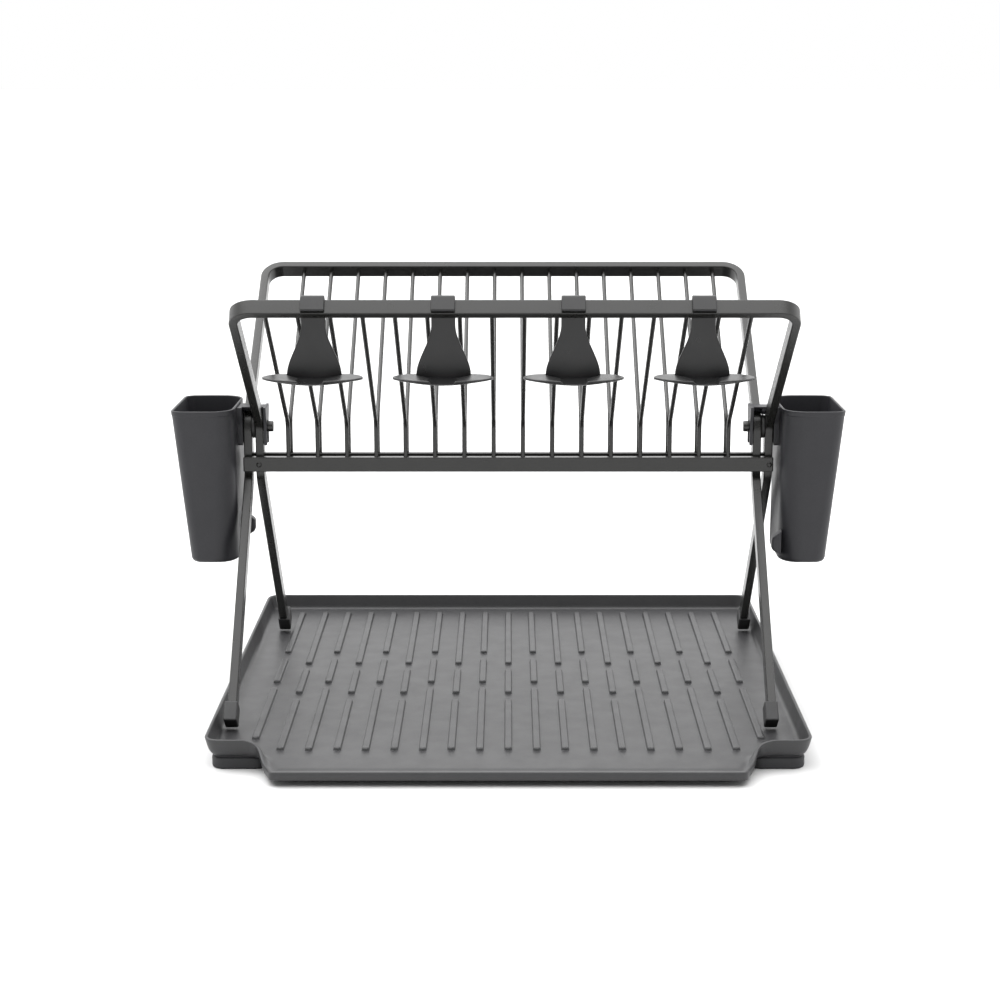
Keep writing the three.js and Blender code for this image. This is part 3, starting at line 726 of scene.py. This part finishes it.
# The pad that keeps the pot off the frames, as (x, z).
PAD = [(223, 145), (223, 135), (231, 130), (231, 151)]
PAD_CORNER_R = (4, 4, 0, 0)
PAD_Y = (-41, -31)
PAD_RIM_R = 1.4


def pot_ring(z, inset):
    """Outline of the pot at a height: flat ends, slightly bowed front and back."""
    t = (z - POT_BOTTOM) / (POT_RIM - POT_BOTTOM)
    x0, x1, y = (a + (b - a) * t for a, b in zip(POT_BASE_BOX, POT_TOP_BOX))
    x0, x1, y = x0 + inset, x1 - inset, y - inset - POT_BOW
    radii = [max(r - inset, 2) for r in POT_CORNER_R]
    turns, straight = 9, 8
    corners = rounded_rect(x0, x1, -y, y, radii, turns)
    count = turns + 1
    outline = []
    for k in range(4):
        outline += corners[k * count:(k + 1) * count]
        a = Vector(corners[(k + 1) * count - 1])
        b = Vector(corners[((k + 1) * count) % len(corners)])
        outline += [tuple(a.lerp(b, i / straight)) for i in range(1, straight)]
    middle, reach = (x0 + x1) / 2, (x1 - x0) / 2
    bowed = []
    for u, v in outline:
        bow = POT_BOW * max(0.0, 1 - ((u - middle) / reach) ** 2) * (v / y)
        bowed.append((u, v + bow, z))
    return bowed


def pot_shell():
    """The pot's cup, and the hanger that carries it over the crossing of the legs."""
    b, r, inside = POT_BOTTOM, POT_RIM, POT_FLOOR
    # Height and inset: the base, the wall, the band under the rim, the rim, the inside.
    profile = [
        (b, 5.0), (b + 0.15, 3.4), (b + 0.9, 1.8), (b + 2.1, 0.8), (b + 3.8, 0.35), (b + 60, 0.35),
        (r - 5.2, 0.35), (r - 4.6, 0.3), (r - 4.3, 0.05), (r - 4.0, 0), (r - 0.8, 0),
        (r - 0.35, 0.12), (r - 0.08, 0.45), (r, 0.9), (r, 1.25), (r - 0.1, 1.65), (r - 0.45, 1.95),
        (r - 1.1, 2.05), (inside + 60, 2.5), (inside + 4, 3.0), (inside + 1.6, 3.6),
        (inside + 0.4, 5.2), (inside, 8.0),
    ]
    shell = Shell()
    shell.loft([pot_ring(z, inset) for z, inset in profile])
    # Hanger: a shield-shaped lip inside the frames, a saddle over them and a back plate.
    top, bottom, slot, slot_top = HANGER_TOP, HANGER_BOTTOM, SLOT_HALF_W, SLOT_TOP
    right = [(13, top), (12.6, top - 5), (11.2, top - 9.5), (9.4, top - 13), (8.6, top - 17),
             (8.6, bottom + 1.5), (7.6, bottom), (slot, bottom), (slot, slot_top - 2.4),
             (slot - 1.4, slot_top - 0.6), (slot - 3, slot_top)]
    shield = [(-y, z) for y, z in right] + [(y, z) for y, z in reversed(right)]
    slab(shell, shield, INNER_FACE - HANGER_T, INNER_FACE, 0.7, along_x)
    slab(shell, shield, OUTER_FACE, HANGER_BACK, 0.5, along_x)
    # The saddle's underside follows the notch between the two frames' upper bends.
    w, nose = SADDLE_HALF_W, SADDLE_NOSE
    notch = UPPER_BEND_Z + (BAR_W / 2 + GAP) / NORMAL.y
    edge = notch + w * NORMAL.x / NORMAL.y + 0.2
    saddle = [(-w, top), (-w, edge), (-nose, notch + 1.6), (nose, notch + 1.6), (w, edge), (w, top)]
    slab(shell, saddle, INNER_FACE - 1, OUTER_FACE + 1, 0.4, along_x)
    middle = FRAME_W / 2 - BAR_T / 2
    slab(shell, WEB, middle - WEB_HALF_T, middle + WEB_HALF_T, 0.1, along_x)
    slab(shell, soften(PAD, PAD_CORNER_R, 5), *PAD_Y, PAD_RIM_R, along_y)
    return shell


pot_shell().build("pot_cup_right", "pot_right", ["pot_right"], "pot_plastic", [POT])
pot_shell().build("pot_cup_left", "pot_left", ["pot_left"], "pot_plastic", [POT], turned=True)


# ---- Holders -----------------------------------------------------------------------------

CLIP_HALF_T, PLATE_HALF_T = 1.3, 1.6
CLIP_BEND_R = 1.8
PLATE_Y = -155
PLATE_TOP, PLATE_NECK = 346.5, 343
PLATE_TURN = 306.5
NECK_HALF_W, FLARE_HALF_W = 9.3, 21.2
FLARE_TOP, FLARE_H = 340, 39
STRIP_EDGE_R = 0.9
STRIP_STEPS = 18

SHELF_TOP = 302
SHELF_BOTTOM = 298
SHELF_HALF_W = 38.6
TIP_RISE = 2.0
CHANNEL_DEPTH = 2.5
CHANNEL_HALF_W = 9.4
CHANNEL_FLARE, CHANNEL_FLARE_FRONT, CHANNEL_FLARE_L = 10.8, -180, 23
# Distance from the middle, then the shelf's back or front edge there.
SHELF_BACK_EDGE = [(0, -153.6), (21.2, -153.6), (27.5, -154.6), (32.8, -157.4), (36.2, -162.4),
                   (38.0, -167), (38.6, -170.5)]
SHELF_FRONT_EDGE = [(0, -193.3), (9.5, -192.6), (19, -190.2), (27.2, -186.4), (33, -182),
                    (36.8, -177), (38.2, -173.6), (38.6, -171)]


# Inset of the shelf's front and back edges, and the share of its thickness, going down.
SHELF_RIM = [(0.45, 0.96), (0.12, 0.86), (0.0, 0.72), (0.0, 0.6), (1.2, 0.3), (3.4, 0.0)]
SHELF_STEPS = 32
SHELF_STATIONS = 48


def along_line(points, x):
    """Height of a polyline, given as (x, height) points, at x."""
    for (x0, y0), (x1, y1) in zip(points, points[1:]):
        if x <= x1:
            return y0 + (y1 - y0) * (x - x0) / (x1 - x0)
    return points[-1][1]


def shelf_section(x):
    """Cross section of a holder's shelf at a distance from its middle, as (y, z) points."""
    back = along_line(SHELF_BACK_EDGE, abs(x))
    front = along_line(SHELF_FRONT_EDGE, abs(x))
    scale = min(1.0, (back - front) / 8)
    bottom = SHELF_BOTTOM + TIP_RISE * smooth(abs(x) / SHELF_HALF_W)

    def top(y):
        """The shelf's upper side: lower in the channel, which widens towards the plate."""
        width = CHANNEL_HALF_W + CHANNEL_FLARE * smooth((y - CHANNEL_FLARE_FRONT) / CHANNEL_FLARE_L)
        return SHELF_TOP - CHANNEL_DEPTH * smooth((width - abs(x)) / 2 + 0.5)

    points = []
    for k in range(SHELF_STEPS + 1):
        y = back - scale - (back - front - 2 * scale) * k / SHELF_STEPS
        points.append((y, top(y)))
    for inset, level in SHELF_RIM:
        points.append((front + inset * scale, bottom + (top(front) - bottom) * level))
    for inset, level in reversed(SHELF_RIM):
        points.append((back - inset * scale, bottom + (top(back) - bottom) * level))
    return points


def holder_path():
    """Middle line of the strip: over the rail's outer face and top edge, then down behind it."""
    clip = BAR_T / 2 + GAP
    edge = BAR_W / 2 + GAP
    line = [on_rail(clip + CLIP_HALF_T, PLATE_HALF_T - edge),
            on_rail(clip + CLIP_HALF_T, edge + PLATE_HALF_T), on_rail(-clip - 0.9, edge + PLATE_HALF_T),
            Vector((PLATE_Y, PLATE_TOP)), Vector((PLATE_Y, PLATE_NECK))]
    path = bend(line, CLIP_BEND_R, 6)
    nose = path[0]
    ahead = (path[1] - nose).normalized()
    path[1:1] = [nose + ahead * 0.2, nose + ahead * 0.6, nose + ahead * 1.3]
    drop = PLATE_TURN - PLATE_NECK
    for i in range(1, STRIP_STEPS + 1):
        path.append(Vector((PLATE_Y, PLATE_NECK + drop * i / STRIP_STEPS)))
    path += [Vector((PLATE_Y, PLATE_TURN - 2.4 * i)) for i in range(1, 4)]
    return path


def holder_shell(centre):
    """Strip that hooks over the rail and hangs down as a flaring plate, and the shelf it carries."""
    shell = Shell()
    path = holder_path()
    nose_insets = [0.9, 0.45, 0.12]
    loops = []
    for i, (p, s) in enumerate(zip(path, slopes(path))):
        thin = CLIP_HALF_T
        if i > 6:
            thin += (PLATE_HALF_T - CLIP_HALF_T) * smooth((356 - p.y) / 9)
        spread = smooth((FLARE_TOP - p.y) / FLARE_H)
        half = NECK_HALF_W + (FLARE_HALF_W - NECK_HALF_W) * spread
        inset = nose_insets[i] if i < len(nose_insets) else 0
        outline = rounded_rect(-half + inset, half - inset, -thin + inset, thin - inset,
                               [max(STRIP_EDGE_R - inset, 0.1)] * 4, 4)
        loops.append([(centre + u, p.x - s.y * v, p.y + s.x * v) for u, v in outline])
    shell.loft(loops)
    # Shelf: a wing to each side and a lower channel between them that runs out at the front.
    rings = []
    for j in range(-SHELF_STATIONS, SHELF_STATIONS + 1):
        u = j / SHELF_STATIONS
        x = SHELF_HALF_W * (0.75 * u + 0.25 * math.sin(math.pi / 2 * u))
        rings.append([(centre + x, y, z) for y, z in shelf_section(x)])
    shell.loft(rings)
    return shell


for i in range(4):
    lo, hi = box(f"holder_{i + 1}")
    holder_shell((lo.x + hi.x) / 2).build(f"clip_holder_{i + 1}", "front_rack", [f"holder_{i + 1}"],
                                          "holder_plastic", [HOLDER], sharp=50)


# ---- Floor, light and camera -------------------------------------------------------------

FLOOR_HALF = 60
FLOOR_GREY = 0.66
FRONT_LIGHT = 0.45
BACK_LIGHT = 1.6
TOP_LIGHT = 3.3
SUN_LIGHT = 1.2
SUN_ANGLE = math.radians(40)
SUN_DIRECTION = Vector((0.6, -0.25, -1))
CAMERA_BACK = 1.7
CAMERA_HEIGHT = 0.530156
CAMERA_TILT = 0.213
SENSOR = 36
LENS = 72.54


def floor():
    mesh = bpy.data.meshes.new("floor")
    r = FLOOR_HALF
    mesh.from_pydata([(-r, -r, 0), (r, -r, 0), (r, r, 0), (-r, r, 0)], [], [(0, 1, 2, 3)])
    obj = bpy.data.objects.new("floor", mesh)
    bpy.context.scene.collection.objects.link(obj)
    mat = bpy.data.materials.new("floor_paper")
    mat.use_nodes = True
    shader = mat.node_tree.nodes["Principled BSDF"]
    shader.inputs["Base Color"].default_value = (FLOOR_GREY, FLOOR_GREY, FLOOR_GREY, 1)
    shader.inputs["Roughness"].default_value = 0.9
    shader.inputs["Specular IOR Level"].default_value = 0.1
    mesh.materials.append(mat)


def studio():
    """Bright cyclorama behind and above, dimmer towards the viewer, white along the horizon."""
    scene = bpy.context.scene
    scene.view_settings.view_transform = "Standard"
    world = bpy.data.worlds.new("studio")
    scene.world = world
    world.use_nodes = True
    tree = world.node_tree
    background = tree.nodes["Background"]
    background.inputs["Color"].default_value = (1, 1, 1, 1)
    coord = tree.nodes.new("ShaderNodeTexCoord")
    split = tree.nodes.new("ShaderNodeSeparateXYZ")
    tree.links.new(coord.outputs["Generated"], split.inputs["Vector"])

    def ramp(source, low, high, out_low, out_high):
        node = tree.nodes.new("ShaderNodeMapRange")
        node.interpolation_type = "SMOOTHSTEP"
        for name, value in (("From Min", low), ("From Max", high), ("To Min", out_low),
                            ("To Max", out_high)):
            node.inputs[name].default_value = value
        tree.links.new(source, node.inputs["Value"])
        return node.outputs["Result"]

    def blend(factor, first, second):
        node = tree.nodes.new("ShaderNodeMix")
        node.data_type = "FLOAT"
        tree.links.new(factor, node.inputs["Factor"])
        tree.links.new(first, node.inputs["A"])
        if isinstance(second, float):
            node.inputs["B"].default_value = second
        else:
            tree.links.new(second, node.inputs["B"])
        return node.outputs["Result"]

    around = ramp(split.outputs["Y"], -0.9, 0.5, FRONT_LIGHT, BACK_LIGHT)
    above = blend(ramp(split.outputs["Z"], 0.6, 0.9, 0.0, 1.0), around, TOP_LIGHT)
    flat = blend(ramp(split.outputs["Z"], 0.05, 0.16, 1.0, 0.0), above, 1.0)
    tree.links.new(flat, background.inputs["Strength"])
    sun = bpy.data.lights.new("softbox", "SUN")
    sun.energy = SUN_LIGHT
    sun.angle = SUN_ANGLE
    obj = bpy.data.objects.new("softbox", sun)
    bpy.context.scene.collection.objects.link(obj)
    obj.rotation_euler = SUN_DIRECTION.to_track_quat("-Z", "Y").to_euler()


def camera():
    data = bpy.data.cameras.new("camera")
    data.sensor_width = SENSOR
    data.lens = LENS
    data.shift_x = -0.0083
    data.shift_y = 0.0079
    obj = bpy.data.objects.new("camera", data)
    bpy.context.scene.collection.objects.link(obj)
    obj.location = (0, RACK_Y / 1000 - CAMERA_BACK, CAMERA_HEIGHT)
    obj.rotation_euler = (math.pi / 2 - CAMERA_TILT, 0, 0)
    bpy.context.scene.camera = obj


floor()
studio()
camera()
